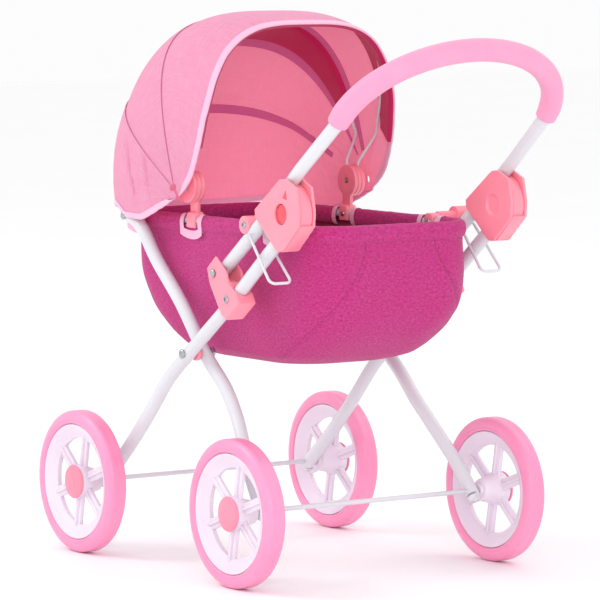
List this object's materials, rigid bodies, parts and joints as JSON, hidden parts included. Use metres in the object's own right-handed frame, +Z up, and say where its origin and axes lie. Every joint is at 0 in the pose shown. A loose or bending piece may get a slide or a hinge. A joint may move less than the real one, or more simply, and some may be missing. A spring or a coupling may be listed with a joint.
{
  "type": "doll pram",
  "caption": "Folding doll pram with a cloth basket, a folding hood, a foam-covered adjustable handle and spoked wheels.",
  "frame": {"origin": "on the floor, under the centre of the bounding box", "axes": "+X from the hood end towards the handle, +Y to the pusher's right, +Z up"},
  "size_m": [0.5674, 0.348, 0.5688],
  "materials": {
    "tyre": "satin",
    "rim": "gloss",
    "cap": "gloss",
    "plastic": "satin",
    "button": "satin",
    "foam": "matt foam",
    "tube": "gloss powder coat",
    "steel": "zinc plated",
    "basket": "heathered weave",
    "board": "matt",
    "hood": "linen weave"
  },
  "bodies": {
    "root": {"main_leg_left": "tube", "main_leg_right": "tube", "twin_bracket_left": "plastic", "twin_bracket_right": "plastic", "bracket_screw_left": "steel", "bracket_screw_right": "steel", "crossing_bolt_left": "steel", "crossing_bolt_right": "steel", "crossing_bushing_left": "plastic", "crossing_bushing_right": "plastic", "hinge_outer_left": "plastic", "hinge_outer_right": "plastic", "hinge_inner_left": "plastic", "hinge_inner_right": "plastic", "front_axle": "tube"},
    "rear_legs": {"cross_leg_left": "tube", "cross_leg_right": "tube", "rear_axle": "tube"},
    "basket": {"basket_ring": "tube", "basket_cloth": "basket", "floor_board": "board", "hood_panel_back": "hood", "basket_bolt_left": "steel", "basket_bolt_right": "steel", "hub_clamp_left": "plastic", "hub_clamp_right": "plastic", "hub_screw_left": "steel", "hub_screw_right": "steel"},
    "links": {"link_tube_left": "tube", "link_tube_right": "tube", "link_boss_left": "plastic", "link_boss_right": "plastic"},
    "handle": {"handle_tube": "tube", "handle_grip": "foam", "hinge_tongue_left": "plastic", "hinge_tongue_right": "plastic"},
    "hood_middle": {"hood_panel_middle": "hood", "hood_rib_middle": "tube", "middle_knuckle_left": "plastic", "middle_knuckle_right": "plastic"},
    "hood_front": {"hood_panel_front": "hood", "hood_rib_front": "tube", "front_knuckle_left": "plastic", "front_knuckle_right": "plastic"},
    "button_left": {"hinge_button_left": "button"},
    "clip_left": {"wire_clip_left": "tube"},
    "wheel_front_left": {"tyre_front_left": "tyre", "rim_front_left": "rim", "hub_cap_front_left": "cap"},
    "wheel_rear_left": {"tyre_rear_left": "tyre", "rim_rear_left": "rim", "hub_cap_rear_left": "cap"},
    "button_right": {"hinge_button_right": "button"},
    "clip_right": {"wire_clip_right": "tube"},
    "wheel_front_right": {"tyre_front_right": "tyre", "rim_front_right": "rim", "hub_cap_front_right": "cap"},
    "wheel_rear_right": {"tyre_rear_right": "tyre", "rim_rear_right": "rim", "hub_cap_rear_right": "cap"}
  },
  "joints": [
    {"name": "frame_fold", "type": "hinge", "parent": "root", "child": "rear_legs", "pos_m": [-0.04875, 0, 0.222], "axis": [0, -1, 0], "range_deg": [0, 60]},
    {"name": "basket_pivot", "type": "hinge", "parent": "rear_legs", "child": "basket", "pos_m": [-0.19275, 0, 0.355], "axis": [0, -1, 0], "range_deg": [-17.4, 0]},
    {"name": "link_pivot", "type": "hinge", "parent": "root", "child": "links", "pos_m": [0.01425, 0, 0.309], "axis": [0, -1, 0], "range_deg": [0, 107]},
    {"name": "handle_tilt", "type": "hinge", "parent": "root", "child": "handle", "pos_m": [0.13425, 0, 0.3755], "axis": [0, 1, 0], "range_deg": [-30, 80]},
    {"name": "hood_fold", "type": "hinge", "parent": "basket", "child": "hood_front", "pos_m": [-0.08775, 0, 0.39], "axis": [0, -1, 0], "range_deg": [0, 75]},
    {"name": "hood_middle_turn", "type": "hinge", "parent": "basket", "child": "hood_middle", "pos_m": [-0.08775, 0, 0.39], "axis": [0, -1, 0], "range_deg": [0, 37.5]},
    {"name": "button_press_left", "type": "slide", "parent": "root", "child": "button_left", "axis": [0, 1, 0], "range_m": [0, 0.003], "stiffness_N_per_m": 200},
    {"name": "clip_swing_left", "type": "hinge", "parent": "root", "child": "clip_left", "pos_m": [0.07625, -0.1305, 0.3525], "axis": [0, -1, 0], "range_deg": [-35, 20]},
    {"name": "wheel_front_left_spin", "type": "hinge", "parent": "root", "child": "wheel_front_left", "pos_m": [-0.20875, -0.161, 0.075], "axis": [0, 1, 0], "continuous": true},
    {"name": "wheel_rear_left_spin", "type": "hinge", "parent": "rear_legs", "child": "wheel_rear_left", "pos_m": [0.08625, -0.161, 0.075], "axis": [0, 1, 0], "continuous": true},
    {"name": "button_press_right", "type": "slide", "parent": "root", "child": "button_right", "axis": [0, -1, 0], "range_m": [0, 0.003], "stiffness_N_per_m": 200},
    {"name": "clip_swing_right", "type": "hinge", "parent": "root", "child": "clip_right", "pos_m": [0.07625, 0.1305, 0.3525], "axis": [0, -1, 0], "range_deg": [-35, 20]},
    {"name": "wheel_front_right_spin", "type": "hinge", "parent": "root", "child": "wheel_front_right", "pos_m": [-0.20875, 0.161, 0.075], "axis": [0, 1, 0], "continuous": true},
    {"name": "wheel_rear_right_spin", "type": "hinge", "parent": "rear_legs", "child": "wheel_rear_right", "pos_m": [0.08625, 0.161, 0.075], "axis": [0, 1, 0], "continuous": true}
  ],
  "couplings": [
    {"joint": "basket_pivot", "follows": "frame_fold", "ratio": -0.2893},
    {"joint": "link_pivot", "follows": "frame_fold", "ratio": 1.7783},
    {"joint": "hood_middle_turn", "follows": "hood_fold", "ratio": 0.5}
  ]
}
